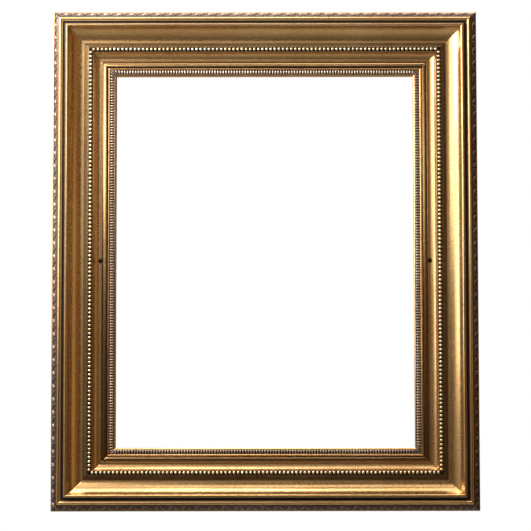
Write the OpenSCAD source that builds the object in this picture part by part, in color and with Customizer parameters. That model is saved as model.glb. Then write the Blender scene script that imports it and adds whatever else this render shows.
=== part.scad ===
// Gilded picture frame: four deep scooped rails carry a narrower liner with a
// reeded sight edge, a run of pearls and a run of leaves. Millimetres, +Z up.
// The front faces -Y. The origin is on the back of the top rail, at its middle.

/* [Picture] */
// Width of the picture that the frame is made for
picture_w = 406.4; // [320:0.1:900]
// Height of the picture that the frame is made for
picture_h = 508; // [420:0.1:1200]
// How far the sight edge covers the picture on each side
picture_cover = 6.35; // [4:0.05:9]
// Free play left around the picture in its recess
picture_play = 1.6; // [0.5:0.1:3]

/* [Liner members, from the sight edge outwards] */
// Width of the rounded nosing at the sight edge
nosing_w = 3; // [2:0.1:5]
// Width of the bed that the reeds lie in
reed_bed_w = 5.8; // [4:0.1:9]
// Radius of the small bead outside the reeds
small_bead_r = 1.4; // [0.8:0.1:2]
// Width of the groove outside the small bead
small_groove_w = 1.3; // [0.8:0.1:3]
// Width of the flat step
flat_step_w = 4.7; // [3:0.1:8]
// Width of the quirk between the flat step and the hollow's crest
quirk_w = 0.9; // [0.5:0.1:2]
// Width of the hollow's flat crest
crest_w = 0.5; // [0.4:0.1:1.5]
// Width of the hollow from its crest to its lowest line
hollow_in_w = 2.8; // [2.4:0.1:4]
// Width of the hollow from its lowest line to the rim
hollow_out_w = 8.7; // [7.4:0.1:11]
// Width of the flat rim that meets the outer rail
liner_rim_w = 0.8; // [0.6:0.1:3]

/* [Liner heights above the back of the frame] */
// Thickness of the outer rail's ledge, with its back relief
ledge_top = 14; // [12:0.5:18]
// How much further forward the lip's back lies than the ledge
lip_relief = 0.5; // [0.4:0.1:1]
// Height of the nosing
nosing_top = 19.6; // [19:0.1:24]
// Height of the bed that the reeds lie in
reed_bed_top = 18.9; // [18:0.1:19.4]
// Height of the small bead's centre
small_bead_top = 20.4; // [20:0.1:22]
// Height of the groove's floor
small_groove_top = 19.8; // [19:0.1:20]
// Height of the flat step
flat_step_top = 22.2; // [21:0.1:24]
// Height of the quirk's floor
quirk_top = 20.4; // [19.8:0.1:21]
// Height of the hollow's lowest line
hollow_top = 22; // [21.4:0.1:22.6]
// How far the hollow rises from that line to its crest
hollow_in_rise = 1.4; // [0.8:0.1:2]
// Height of the liner's rim
liner_rim_top = 28.5; // [26:0.1:29]

/* [Outer rail members, from the liner outwards] */
// Gap between the liner and the outer rail's step
liner_gap = 0.3; // [0.1:0.1:1]
// Width of the shelf that the pearls lie on
pearl_shelf_w = 5.4; // [5:0.1:8]
// Width of the shoulder beside the pearls
shoulder_w = 0.5; // [0.3:0.1:2]
// Width of the stippled slope
slope_w = 6.2; // [4:0.1:10]
// Width of the scoop
scoop_w = 19.4; // [16.5:0.1:24]
// Radius of the ridge bead
ridge_r = 2.4; // [1.5:0.1:3]
// Width of the groove outside the ridge
outer_groove_w = 3.6; // [2:0.1:5]
// Width of the fillet between that groove and the outer torus
outer_fillet_w = 0.5; // [0.3:0.1:2]
// Radius of the outer torus
outer_torus_r = 2.4; // [1.5:0.1:3]
// Width of the bevel that carries the leaves, seen from the front
leaf_bevel_w = 7; // [5:0.1:10]
// Width of the plain edge outside the leaves
plain_edge_w = 0.8; // [0.5:0.1:2]

/* [Outer rail heights above the back of the frame] */
// Height of the shelf that the pearls lie on
pearl_shelf_top = 33; // [31.5:0.1:36]
// Height of the shoulder beside the pearls
shoulder_top = 34.6; // [33.5:0.1:37]
// Height of the scoop's lowest line
valley_top = 30; // [26:0.1:31]
// How far the scoop rises from that line to the ridge
scoop_rise = 12.5; // [9:0.1:12.6]
// Height of the ridge bead's centre
ridge_top = 43.7; // [43.3:0.1:46]
// Height of the fillet and groove outside the ridge
outer_fillet_top = 42.7; // [41.9:0.1:43.1]
// Height of the outer torus's centre
outer_torus_top = 41; // [40.6:0.1:41.5]
// Height of the plain edge's outer face
plain_edge_h = 2.5; // [1:0.1:5]
// How far the outer side leans in towards the back
side_lean = 6.5; // [2:0.1:12]
// Width of the relief milled along the back beside the recess
relief_w = 32; // [30:0.5:36]
// Depth of that relief
relief_depth = 4; // [4:0.1:5]

/* [Ornament] */
// Radius of a pearl
pearl_r = 2.3; // [1.8:0.05:2.5]
// Distance from pearl to pearl, before it is evened out along a rail
pearl_pitch = 5.44; // [5.2:0.02:7]
// Width of the strip that the pearls are cast on
pearl_strip_w = 4.8; // [4.6:0.1:5]
// Thickness of that strip
pearl_strip_t = 1; // [0.6:0.1:1.5]
// Height of a pearl's centre above its strip
pearl_lift = 0.6; // [0.3:0.1:1]
// Distance from reed to reed, before it is evened out along a rail
reed_pitch = 3.65; // [3.2:0.05:5]
// Radius of a reed
reed_r = 1.45; // [1:0.05:1.5]
// Thickness of the strip under the reeds
reed_strip_t = 0.7; // [0.5:0.1:1]
// Distance from leaf to leaf, before it is evened out along a rail
leaf_pitch = 8.6; // [7.5:0.1:12]
// Length of a leaf
leaf_l = 9.4; // [7:0.1:11]
// Width of a leaf
leaf_w = 4.2; // [3:0.1:5]
// Rise of the strip that the leaves are cast on
leaf_strip_rise = 1.3; // [0.8:0.1:2]
// Rise of the leaves themselves
leaf_rise = 2.3; // [1.5:0.1:3]

/* [Liner screws] */
// Radius of a liner screw's head
liner_head_r = 2.8; // [2.2:0.1:3.2]
// Height of that head
liner_head_h = 1.6; // [1:0.1:2]
// Radius of the spot face that the head sits in
spot_face_r = 3.2; // [2.8:0.1:3.5]
// Depth of the spot face below the hollow's lowest line
spot_face_depth = 0.5; // [0.3:0.1:1]
// Distance of the liner screws from the hollow's lowest line, towards the sight edge
liner_screw_in = 0.8; // [0:0.1:1.2]
// Radius of a liner screw's shank
liner_shank_r = 1.6; // [1:0.1:2]
// Depth that a liner screw bites into the ledge
liner_bite = 8; // [5:0.5:9]

/* [Turn buttons] */
// Distance of a turn button's pivot from the sight corner, along the rail
button_inset = 95; // [60:1:120]
// Distance of the pivot from the recess
button_set_back = 13; // [11:0.5:16]
// Reach of a turn button from its pivot
button_reach = 18; // [16:0.5:18.5]
// Width of a turn button
button_w = 9; // [8:0.5:12]
// Thickness of a turn button
button_t = 1.5; // [1:0.1:1.7]
// Radius of its screw's shank
button_shank_r = 1.5; // [1.2:0.1:2]
// Radius of its screw's head
button_head_r = 3.2; // [2.8:0.1:3.8]
// Height of its screw's head
button_head_h = 1.8; // [1.4:0.1:1.9]
// Depth that its screw bites into the ledge
button_bite = 8; // [5:0.5:8.5]

/* [Hangers] */
// Distance of the hangers below the frame's outer top edge
hanger_drop = 150; // [120:1:200]
// Distance of the ring's bar from the relief
hanger_set_back = 7; // [4:0.5:8]
// Radius of the ring's wire
ring_wire_r = 1.2; // [1:0.1:1.5]
// Radius of the ring's round end
ring_end_r = 9; // [8.5:0.5:10]
// Radius of the ring's two corners
ring_corner_r = 3; // [2.4:0.1:3.2]
// Length of the ring's straight sides
ring_side_l = 2; // [1:0.5:4]
// Width of the strap
strap_w = 11; // [9:0.5:11.4]
// Length of the strap from the ring's bar
strap_l = 27; // [25:0.5:28]
// Thickness of the strap's sheet, which is folded double
strap_sheet_t = 1; // [0.8:0.1:1.2]
// Radius of the strap's two outer corners
strap_corner_r = 2.6; // [1:0.1:4]
// Distance of the strap's screw from the strap's outer end
strap_screw_back = 6; // [5:0.5:7]
// Radius of the strap screw's shank
strap_shank_r = 1.7; // [1.5:0.1:2]
// Radius of the strap screw's head
strap_head_r = 3.3; // [3:0.1:3.8]
// Height of the strap screw's head
strap_head_h = 2; // [1.5:0.1:2.2]
// Depth that the strap screw bites into the rail
strap_bite = 12; // [8:0.5:16]

/* [Bumpers and corner nails] */
// Radius of a wall bumper
bumper_r = 6.5; // [5:0.5:9]
// Height of a wall bumper
bumper_h = 5; // [4.9:0.1:6]
// Distance of a bumper from the outer corner, both ways
bumper_inset = 34; // [26:1:60]
// Length of a corner nail's leg
nail_leg = 7; // [5:0.5:9]
// Thickness of a corner nail's sheet
nail_t = 0.6; // [0.4:0.1:1]
// Height of a corner nail
nail_h = 7; // [5:0.5:7.5]
// Height of a liner corner nail
liner_nail_h = 4; // [3:0.5:4.5]

/* [Hidden] */
// Clearance all round a screw or a nail in the wood
wood_fit = 0.05;
// Clearance between a turning piece and its pin
pivot_fit = 0.08;
// Gap beside a turning piece, and over it
turn_gap = 0.2;
// Depth that the nails are punched below the surface
nail_punch = 0.3;
// Width of a screw's slot, and its depth
slot_w = 0.8;
slot_depth = 0.7;
// Overrun of every cut past the solid that it cuts
overrun = 2;
// Share of the pitch left between the mitre and the nearest pearl
pearl_end_share = 0.75;
// Share of the pitch left between the mitre and the nearest reed
reed_end_share = 0.5;
// Share of the leaf bevel's slope that the leaf strip covers
leaf_strip_share = 0.96;
// Tilt of the leaves against the rail
leaf_tilt = 38;

sight_w = picture_w - 2 * picture_cover;
sight_h = picture_h - 2 * picture_cover;
recess_u = picture_cover + picture_play;
// Places across the liner, outwards from the sight edge
reed_bed_u = nosing_w;
small_bead_u = reed_bed_u + reed_bed_w;
small_groove_u = small_bead_u + 2 * small_bead_r;
flat_step_u = small_groove_u + small_groove_w;
quirk_u = flat_step_u + flat_step_w;
crest_u = quirk_u + quirk_w;
hollow_u = crest_u + crest_w + hollow_in_w;
liner_rim_u = hollow_u + hollow_out_w;
liner_w = liner_rim_u + liner_rim_w;
// Places across the outer rail
shelf_u = liner_w + liner_gap;
shoulder_u = shelf_u + pearl_shelf_w;
slope_u = shoulder_u + shoulder_w;
valley_u = slope_u + slope_w;
ridge_u = valley_u + scoop_w;
outer_groove_u = ridge_u + 2 * ridge_r;
outer_fillet_u = outer_groove_u + outer_groove_w;
outer_torus_u = outer_fillet_u + outer_fillet_w;
leaf_bevel_u = outer_torus_u + 2 * outer_torus_r;
plain_edge_u = leaf_bevel_u + leaf_bevel_w;
frame_edge_u = plain_edge_u + plain_edge_w;
foot_u = recess_u + relief_w;
foot_edge_u = frame_edge_u - side_lean;
// The leaf bevel falls at 45 degrees
plain_edge_top = outer_torus_top - leaf_bevel_w;
// The scoop leaves its lowest line level, so its arc is fixed by width and rise
scoop_r = (scoop_w * scoop_w + scoop_rise * scoop_rise) / (2 * scoop_rise);
liner_lip_top = ledge_top + lip_relief;
hollow_out_rise = liner_rim_top - hollow_top;
screw_u = hollow_u - liner_screw_in;
spot_face_top = hollow_top - spot_face_depth;
button_u = recess_u + button_set_back;
hanger_u = foot_u + hanger_set_back;
strap_t = 2 * strap_sheet_t;
strap_screw_l = strap_l - strap_screw_back;
knuckle_r = ring_wire_r + pivot_fit + strap_sheet_t;
// The ring's bar runs clear of the wood by the wall of its knuckle
bar_h = knuckle_r + turn_gap / 2;
bumper_u = frame_edge_u - bumper_inset;
// The origin is at the middle of the foot's back, on the top rail
wall_point_u = (foot_u + foot_edge_u) / 2;
centre_drop = sight_h / 2 + wall_point_u;
leaf_seat_l = leaf_bevel_w * sqrt(2);
leaf_half = leaf_seat_l * leaf_strip_share / 2;

TOP = 0;
RIGHT = 1;
BOTTOM = 2;
LEFT = 3;

function reach(side) = side % 2 == 0 ? sight_h / 2 : sight_w / 2;
function half_sight(side) = side % 2 == 0 ? sight_w / 2 : sight_h / 2;
// How many repeats fit between two ends, and the pitch that evens them out
function run_length(side, u, end) = 2 * (half_sight(side) + u - end);
function gaps(length, pitch) = round(length / pitch);
// Radius of an arc from its chord's half and its rise
function arc_r(half, rise) = (half * half + rise * rise) / (2 * rise);

// A rail's own frame: X along it, Y outwards from the sight edge, Z to the front
module on_side(side) {
    translate([0, 0, -centre_drop])
        rotate([0, 90 * side, 0])
            translate([0, 0, reach(side)])
                rotate([90, 0, 0])
                    children();
}

// Keeps what lies between a rail's two mitres
module mitred(side) {
    half = half_sight(side);
    far = frame_edge_u + overrun;
    intersection() {
        children();
        translate([0, 0, -overrun])
            linear_extrude(ridge_top + ridge_r + 2 * overrun)
                polygon([
                    [-half + overrun, -overrun], [half - overrun, -overrun],
                    [half + far, far], [-half - far, far]
                ]);
    }
}

// Draws a section, across and up, along the whole of a rail
module along(side) {
    length = 2 * (half_sight(side) + frame_edge_u);
    translate([-length / 2, 0, 0])
        rotate([90, 0, 90])
            linear_extrude(length)
                children();
}

// Puts a part at the four corners, on the mitre, at a place across the rails
module at_corners(u) {
    for (sx = [-1, 1], sz = [-1, 1])
        translate([sx * (sight_w / 2 + u), 0, sz * (sight_h / 2 + u) - centre_drop])
            scale([sx, 1, sz])
                children();
}

// A sheet nail bent to a right angle, its bend on the mitre
module corner_nail(u, back, height, fit) {
    at_corners(u)
        translate([0, -back, 0])
            rotate([90, 0, 0])
                translate([fit, fit, 0])
                    linear_extrude(height)
                        difference() {
                            translate([-nail_leg - 2 * fit, -nail_leg - 2 * fit])
                                square(nail_leg + 2 * fit);
                            translate([-nail_leg - nail_t - 2 * fit, -nail_leg - nail_t - 2 * fit])
                                square(nail_leg);
                        }
}

// The two rows of nails in the outer corners, one in the ledge and one in the foot
module outer_nail_rows(fit) {
    corner_nail(button_u, relief_depth + nail_punch, nail_h, fit);
    corner_nail(wall_point_u, nail_punch, nail_h, fit);
}

module liner_nail_row(fit) {
    corner_nail(screw_u, ledge_top + nail_punch, liner_nail_h, fit);
}

// A nail's slot runs out through the back of the wood
module outer_nail_slots() {
    corner_nail(button_u, relief_depth - overrun, nail_h + nail_punch + overrun, wood_fit);
    corner_nail(wall_point_u, -overrun, nail_h + nail_punch + overrun, wood_fit);
}

module liner_nail_slots() {
    corner_nail(screw_u, ledge_top - overrun, liner_nail_h + nail_punch + overrun, wood_fit);
}

// A round place on a rail's back or front, at a distance from the mid-length
module on_rail(side, x, u, up) {
    on_side(side)
        translate([x, u, up])
            children();
}

// A screw that points into the wood, its head's underside at height zero
module wood_screw(shank_r, length, head_r, head_h) {
    difference() {
        union() {
            translate([0, 0, -length])
                cylinder(r = shank_r, h = length, $fn = 48);
            rotate_extrude($fn = 64)
                intersection() {
                    square([head_r, head_h]);
                    translate([0, head_h - arc_r(head_r * sqrt(2), head_h)])
                        circle(r = arc_r(head_r * sqrt(2), head_h), $fn = 64);
                }
        }
        translate([-head_r - overrun, -slot_w / 2, head_h - slot_depth])
            cube([2 * (head_r + overrun), slot_w, slot_depth + overrun]);
    }
}

module outer_section() {
    difference() {
        union() {
            polygon([
                [recess_u, relief_depth], [foot_u, relief_depth], [foot_u, 0],
                [foot_edge_u, 0], [frame_edge_u, plain_edge_top - plain_edge_h],
                [frame_edge_u, plain_edge_top], [plain_edge_u, plain_edge_top],
                [leaf_bevel_u, outer_torus_top], [outer_torus_u + outer_torus_r, outer_torus_top],
                [outer_torus_u + outer_torus_r, outer_fillet_top],
                [outer_groove_u, outer_fillet_top], [outer_groove_u, ridge_top],
                [ridge_u, ridge_top], [ridge_u, valley_top + scoop_rise],
                [valley_u, valley_top], [slope_u, shoulder_top], [shoulder_u, shoulder_top],
                [shoulder_u, pearl_shelf_top], [shelf_u, pearl_shelf_top],
                [shelf_u, ledge_top], [recess_u, ledge_top]
            ]);
            translate([ridge_u + ridge_r, ridge_top])
                circle(r = ridge_r, $fn = 48);
            translate([outer_torus_u + outer_torus_r, outer_torus_top])
                circle(r = outer_torus_r, $fn = 48);
        }
        intersection() {
            translate([valley_u, valley_top + scoop_r])
                circle(r = scoop_r, $fn = 128);
            translate([valley_u, valley_top - overrun])
                square([scoop_w, scoop_rise + overrun]);
        }
        translate([outer_groove_u + outer_groove_w / 2, outer_fillet_top])
            circle(d = outer_groove_w, $fn = 48);
    }
}

// Half of a hollow: an arc that leaves the lowest line level and ends at a width and a rise
module hollow_half(w, rise) {
    intersection() {
        translate([0, arc_r(w, rise)])
            circle(r = arc_r(w, rise), $fn = 96);
        translate([0, -overrun])
            square([w, rise + overrun]);
    }
}

module liner_section() {
    difference() {
        union() {
            polygon([
                [0, liner_lip_top], [recess_u, liner_lip_top], [recess_u, ledge_top],
                [liner_w, ledge_top], [liner_w, liner_rim_top], [liner_rim_u, liner_rim_top],
                [hollow_u, hollow_top], [crest_u + crest_w, hollow_top + hollow_in_rise],
                [crest_u, hollow_top + hollow_in_rise], [crest_u, quirk_top],
                [quirk_u, quirk_top], [quirk_u, flat_step_top], [flat_step_u, flat_step_top],
                [flat_step_u, small_groove_top], [small_bead_u + small_bead_r, small_groove_top],
                [small_bead_u + small_bead_r, reed_bed_top], [reed_bed_u, reed_bed_top],
                [reed_bed_u, nosing_top], [0, nosing_top]
            ]);
            translate([small_bead_u + small_bead_r, small_bead_top])
                circle(r = small_bead_r, $fn = 48);
        }
        translate([hollow_u, hollow_top]) {
            hollow_half(hollow_out_w, hollow_out_rise);
            mirror([1, 0])
                hollow_half(hollow_in_w, hollow_in_rise);
        }
        // The nosing's quarter round
        difference() {
            translate([-overrun, nosing_top - nosing_w])
                square([nosing_w + overrun, nosing_w + overrun]);
            translate([nosing_w, nosing_top - nosing_w])
                circle(r = nosing_w, $fn = 48);
        }
    }
}

module liner_screw_holes() {
    for (side = [LEFT, RIGHT])
        on_rail(side, 0, screw_u, spot_face_top) {
            cylinder(r = spot_face_r, h = spot_face_depth + hollow_in_rise + overrun, $fn = 64);
            translate([0, 0, ledge_top - liner_bite - wood_fit - spot_face_top])
                cylinder(r = liner_shank_r + wood_fit, h = spot_face_top, $fn = 48);
        }
}

module button_screw_holes() {
    for (b = BUTTONS)
        on_rail(b[0], b[1] * button_x(b[0]), button_u, relief_depth - overrun)
            cylinder(r = button_shank_r + wood_fit, h = button_bite + wood_fit + overrun, $fn = 48);
}

module strap_screw_holes() {
    for (side = [LEFT, RIGHT])
        on_rail(side, hanger_x(side), hanger_u + strap_screw_l, -overrun)
            cylinder(r = strap_shank_r + wood_fit, h = strap_bite + wood_fit + overrun, $fn = 48);
}

// Side, and which way from its middle, of each turn button
BUTTONS = [
    [TOP, -1], [TOP, 1], [RIGHT, -1], [RIGHT, 1],
    [BOTTOM, -1], [BOTTOM, 1], [LEFT, -1], [LEFT, 1]
];
function button_x(side) = half_sight(side) - button_inset;
// Up is towards minus X on the right rail and plus X on the left one
function hanger_x(side) =
    (side == RIGHT ? -1 : 1) * (sight_h / 2 + frame_edge_u - hanger_drop);

module outer_rail(side) {
    color("darkgoldenrod")
        difference() {
            on_side(side)
                mitred(side)
                    along(side)
                        outer_section();
            outer_nail_slots();
            liner_screw_holes();
            button_screw_holes();
            strap_screw_holes();
        }
}

module liner(side) {
    color("goldenrod")
        difference() {
            on_side(side)
                mitred(side)
                    along(side)
                        liner_section();
            liner_nail_slots();
            liner_screw_holes();
        }
}

// A pearl that stands on height zero, its foot inside the strip
module pearl() {
    rotate_extrude($fn = 64)
        intersection() {
            translate([0, pearl_strip_t + pearl_lift])
                circle(r = pearl_r, $fn = 64);
            translate([0, pearl_strip_t / 2])
                square([pearl_r, pearl_strip_t + pearl_lift + pearl_r]);
        }
}

// Pearls on a flat strip, the end ones clear of the mitres
module pearl_run(side) {
    middle = shelf_u + pearl_shelf_w / 2;
    length = run_length(side, middle, pearl_end_share * pearl_pitch);
    count = gaps(length, pearl_pitch);
    color("palegoldenrod")
        on_side(side) {
            mitred(side)
                along(side)
                    translate([middle - pearl_strip_w / 2, pearl_shelf_top])
                        square([pearl_strip_w, pearl_strip_t]);
            for (i = [0:count])
                translate([(i / count - 1 / 2) * length, middle, pearl_shelf_top])
                    pearl();
        }
}

// Half-round reeds that lie across the strip at the sight edge
module reed_run(side) {
    middle = reed_bed_u + reed_bed_w / 2;
    length = run_length(side, middle, reed_end_share * reed_pitch);
    count = gaps(length, reed_pitch);
    color("rosybrown")
        on_side(side)
            mitred(side)
                translate([0, reed_bed_u + reed_bed_w, reed_bed_top])
                    rotate([90, 0, 0])
                        linear_extrude(reed_bed_w)
                            union() {
                                translate([-length / 2 - reed_bed_w, 0])
                                    square([length + 2 * reed_bed_w, reed_strip_t]);
                                intersection() {
                                    for (i = [0:count])
                                        translate([(i / count - 1 / 2) * length, reed_strip_t])
                                            circle(r = reed_r, $fn = 32);
                                    translate([-length / 2 - reed_bed_w, 0])
                                        square([length + 2 * reed_bed_w, reed_strip_t + reed_r]);
                                }
                            }
}

// The section of the leaf strip: a flat chord on the bevel, and an arc over it
module leaf_segment(rise) {
    intersection() {
        translate([0, rise - arc_r(leaf_half, rise)])
            circle(r = arc_r(leaf_half, rise), $fn = 96);
        translate([-leaf_half, 0])
            square([2 * leaf_half, rise]);
    }
}

// One leaf: where two circles overlap
module leaf_outline() {
    r = arc_r(leaf_l / 2, leaf_w / 2);
    intersection() {
        translate([0, r - leaf_w / 2])
            circle(r = r, $fn = 64);
        translate([0, leaf_w / 2 - r])
            circle(r = r, $fn = 64);
    }
}

// Leaves that lean left and right by turns along the outer bevel
module leaf_run(side) {
    middle = leaf_bevel_u + leaf_bevel_w / 2;
    length = run_length(side, middle, leaf_pitch / 2);
    count = gaps(length, leaf_pitch);
    whole = length + 2 * leaf_seat_l;
    color("rosybrown")
        on_side(side)
            mitred(side)
                translate([0, middle, outer_torus_top - leaf_bevel_w / 2])
                    rotate([-45, 0, 0])
                        union() {
                            translate([-whole / 2, 0, 0])
                                rotate([90, 0, 90])
                                    linear_extrude(whole)
                                        leaf_segment(leaf_strip_rise);
                            intersection() {
                                translate([-whole / 2, 0, 0])
                                    rotate([90, 0, 90])
                                        linear_extrude(whole)
                                            leaf_segment(leaf_rise);
                                linear_extrude(leaf_rise + overrun)
                                    for (i = [0:count])
                                        translate([(i / count - 1 / 2) * length, 0])
                                            rotate(i % 2 == 0 ? leaf_tilt : -leaf_tilt)
                                                leaf_outline();
                            }
                        }
}

module corner_nails() {
    color("gray")
        outer_nail_rows(0);
}

module liner_nails() {
    color("gray")
        liner_nail_row(0);
}

module liner_screw(side) {
    color("saddlebrown")
        on_rail(side, 0, screw_u, spot_face_top)
            wood_screw(
                liner_shank_r, spot_face_top - ledge_top + liner_bite,
                liner_head_r, liner_head_h
            );
}

// A flat button with round ends, turned along its rail to let the picture in
module turn_button(index) {
    side = BUTTONS[index][0];
    way = BUTTONS[index][1];
    color("goldenrod")
        on_rail(side, way * button_x(side), button_u, relief_depth - turn_gap - button_t)
            scale([-way, 1, 1])
                linear_extrude(button_t)
                    difference() {
                        union() {
                            circle(d = button_w, $fn = 64);
                            translate([0, -button_w / 2])
                                square([button_reach - button_w / 2, button_w]);
                            translate([button_reach - button_w / 2, 0])
                                circle(d = button_w, $fn = 64);
                        }
                        circle(r = button_shank_r + pivot_fit, $fn = 48);
                    }
}

module turn_button_screws() {
    color("silver")
        for (b = BUTTONS)
            on_rail(b[0], b[1] * button_x(b[0]), button_u, relief_depth - button_t - 2 * turn_gap)
                rotate([180, 0, 0])
                    wood_screw(
                        button_shank_r, button_bite + button_t + 2 * turn_gap,
                        button_head_r, button_head_h
                    );
}

// Side view of the strap: its double sheet, and the knuckle round the ring's bar
module strap_section() {
    difference() {
        union() {
            translate([0, bar_h])
                circle(r = knuckle_r, $fn = 64);
            translate([-strap_l, 0])
                square([strap_l, strap_t]);
        }
        translate([0, bar_h])
            circle(r = ring_wire_r + pivot_fit, $fn = 64);
    }
}

// Plan of the strap: square at the knuckle, with two round corners at its outer end
module strap_plan() {
    corner_x = strap_w / 2 - strap_corner_r;
    translate([-strap_w / 2, strap_corner_r - strap_l])
        square([strap_w, strap_l - strap_corner_r + knuckle_r]);
    translate([-corner_x, -strap_l])
        square([2 * corner_x, strap_corner_r]);
    for (way = [-1, 1])
        translate([way * corner_x, strap_corner_r - strap_l])
            circle(r = strap_corner_r, $fn = 48);
}

// Sheet folded round the ring's bar and back on itself, with one screw hole
module hanger_strap(side) {
    color("silver")
        on_rail(side, hanger_x(side), hanger_u, 0)
            rotate([180, 0, 0])
                difference() {
                    intersection() {
                        translate([-strap_w / 2, 0, 0])
                            rotate([90, 0, 90])
                                linear_extrude(strap_w)
                                    strap_section();
                        linear_extrude(bar_h + knuckle_r)
                            strap_plan();
                    }
                    translate([0, -strap_screw_l, -overrun])
                        cylinder(r = strap_shank_r + wood_fit, h = strap_t + 2 * overrun, $fn = 48);
                }
}

// A part turn of the ring's wire
module wire_bend(radius, from, turn) {
    rotate_extrude(angle = turn, start = from, $fn = 96)
        translate([radius, 0])
            circle(r = ring_wire_r, $fn = 32);
}

// A closed D of wire: bar, two corners, two sides and a round end
module hanger_ring(side) {
    bar_half = ring_end_r - ring_corner_r;
    color("silver")
        on_rail(side, hanger_x(side), hanger_u, -bar_h)
            union() {
                translate([-bar_half, 0, 0])
                    rotate([0, 90, 0])
                        cylinder(r = ring_wire_r, h = 2 * bar_half, $fn = 32);
                for (way = [-1, 1]) {
                    translate([way * bar_half, -ring_corner_r, 0])
                        wire_bend(ring_corner_r, way > 0 ? 0 : 90, 90);
                    translate([way * ring_end_r, -ring_corner_r, 0])
                        rotate([90, 0, 0])
                            cylinder(r = ring_wire_r, h = ring_side_l, $fn = 32);
                }
                translate([0, -ring_corner_r - ring_side_l, 0])
                    wire_bend(ring_end_r, 180, 180);
            }
}

module hanger_screws() {
    color("silver")
        for (side = [LEFT, RIGHT])
            on_rail(side, hanger_x(side), hanger_u + strap_screw_l, -strap_t)
                rotate([180, 0, 0])
                    wood_screw(strap_shank_r, strap_bite + strap_t, strap_head_r, strap_head_h);
}

// A soft dome near the bottom corner, which keeps the frame off the wall
module wall_bumper(way) {
    color("dimgray")
        on_rail(
            BOTTOM, way * (sight_w / 2 + frame_edge_u - bumper_inset), bumper_u, 0
        )
            rotate([180, 0, 0])
                rotate_extrude($fn = 96)
                    intersection() {
                        square([bumper_r, bumper_h]);
                        translate([0, bumper_h - arc_r(bumper_r * sqrt(2), bumper_h)])
                            circle(r = arc_r(bumper_r * sqrt(2), bumper_h), $fn = 96);
                    }
}

outer_rail(TOP);  // outer_rail_top
outer_rail(RIGHT);  // outer_rail_right
outer_rail(BOTTOM);  // outer_rail_bottom
outer_rail(LEFT);  // outer_rail_left
liner(TOP);  // liner_top
liner(RIGHT);  // liner_right
liner(BOTTOM);  // liner_bottom
liner(LEFT);  // liner_left
pearl_run(TOP);  // pearl_run_top
pearl_run(RIGHT);  // pearl_run_right
pearl_run(BOTTOM);  // pearl_run_bottom
pearl_run(LEFT);  // pearl_run_left
reed_run(TOP);  // reed_run_top
reed_run(RIGHT);  // reed_run_right
reed_run(BOTTOM);  // reed_run_bottom
reed_run(LEFT);  // reed_run_left
leaf_run(TOP);  // leaf_run_top
leaf_run(RIGHT);  // leaf_run_right
leaf_run(BOTTOM);  // leaf_run_bottom
leaf_run(LEFT);  // leaf_run_left
corner_nails();
liner_nails();
liner_screw(LEFT);  // liner_screw_left
liner_screw(RIGHT);  // liner_screw_right
turn_button(0);  // turn_button_top_left
turn_button(1);  // turn_button_top_right
turn_button(2);  // turn_button_right_upper
turn_button(3);  // turn_button_right_lower
turn_button(4);  // turn_button_bottom_right
turn_button(5);  // turn_button_bottom_left
turn_button(6);  // turn_button_left_lower
turn_button(7);  // turn_button_left_upper
turn_button_screws();
hanger_strap(LEFT);  // hanger_strap_left
hanger_strap(RIGHT);  // hanger_strap_right
hanger_ring(LEFT);  // hanger_ring_left
hanger_ring(RIGHT);  // hanger_ring_right
hanger_screws();
wall_bumper(1);  // wall_bumper_left
wall_bumper(-1);  // wall_bumper_right
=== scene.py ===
# Looks of a gilded picture frame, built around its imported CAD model.
# The dictionaries hold millimetres, the meshes metres. +Z is up, the front faces -Y.
import math

import bpy
import numpy as np
from mathutils import Matrix


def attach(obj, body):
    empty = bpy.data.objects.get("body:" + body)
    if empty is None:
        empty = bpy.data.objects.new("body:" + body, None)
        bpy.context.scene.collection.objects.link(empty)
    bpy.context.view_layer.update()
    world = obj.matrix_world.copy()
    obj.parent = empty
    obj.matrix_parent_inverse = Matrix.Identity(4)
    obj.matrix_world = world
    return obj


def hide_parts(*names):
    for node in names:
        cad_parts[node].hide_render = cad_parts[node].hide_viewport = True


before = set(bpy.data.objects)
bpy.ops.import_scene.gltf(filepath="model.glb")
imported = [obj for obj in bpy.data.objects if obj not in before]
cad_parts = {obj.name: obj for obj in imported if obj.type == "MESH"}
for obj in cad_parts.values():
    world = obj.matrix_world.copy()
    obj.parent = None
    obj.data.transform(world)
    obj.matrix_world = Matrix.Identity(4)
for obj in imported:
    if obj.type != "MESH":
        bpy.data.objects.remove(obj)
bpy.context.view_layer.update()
mm = 0.001
print("frame loaded,", len(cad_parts), "nodes")

# the opening, how far down its centre lies, and each side's quarter turns from the top
sight = {"width": 393.7, "height": 495.3, "centreDrop": 306.675}
quarterTurns = {"top": 0, "right": 1, "bottom": 2, "left": 3}
patternShift = 700  # each rail's patterns start this much further on, so no two rails look alike
mitreGap = 0.05  # left at each mitre, so that no two runs share a face
castAngle = 50  # degrees from which an edge of the cast runs stays sharp
bothSides = ((0, 0), (1, 1))  # pads each row of a grid by one at its start and end


def together(*columns):
    # arrays of fitting shapes become the columns of one array of points
    return np.stack(np.broadcast_arrays(*columns), -1)


def bothWays(values):
    # the same distances on both sides of zero
    return np.concatenate([-np.array(values)[::-1], [0.0], values])


def halfSight(side):
    # half the sight edge, measured along the rail
    return (sight["width"] if side in ("top", "bottom") else sight["height"]) / 2


def toWorld(side, x, u, h):
    # a rail's own place (x along it, u out from the sight edge, h to the front), turned by quarters
    c, s = [(1, 0), (0, 1), (-1, 0), (0, -1)][quarterTurns[side]]
    out = u + (sight["height"] if side in ("top", "bottom") else sight["width"]) / 2
    return together(x * c + out * s, -h, out * c - x * s - sight["centreDrop"]) * mm


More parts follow.
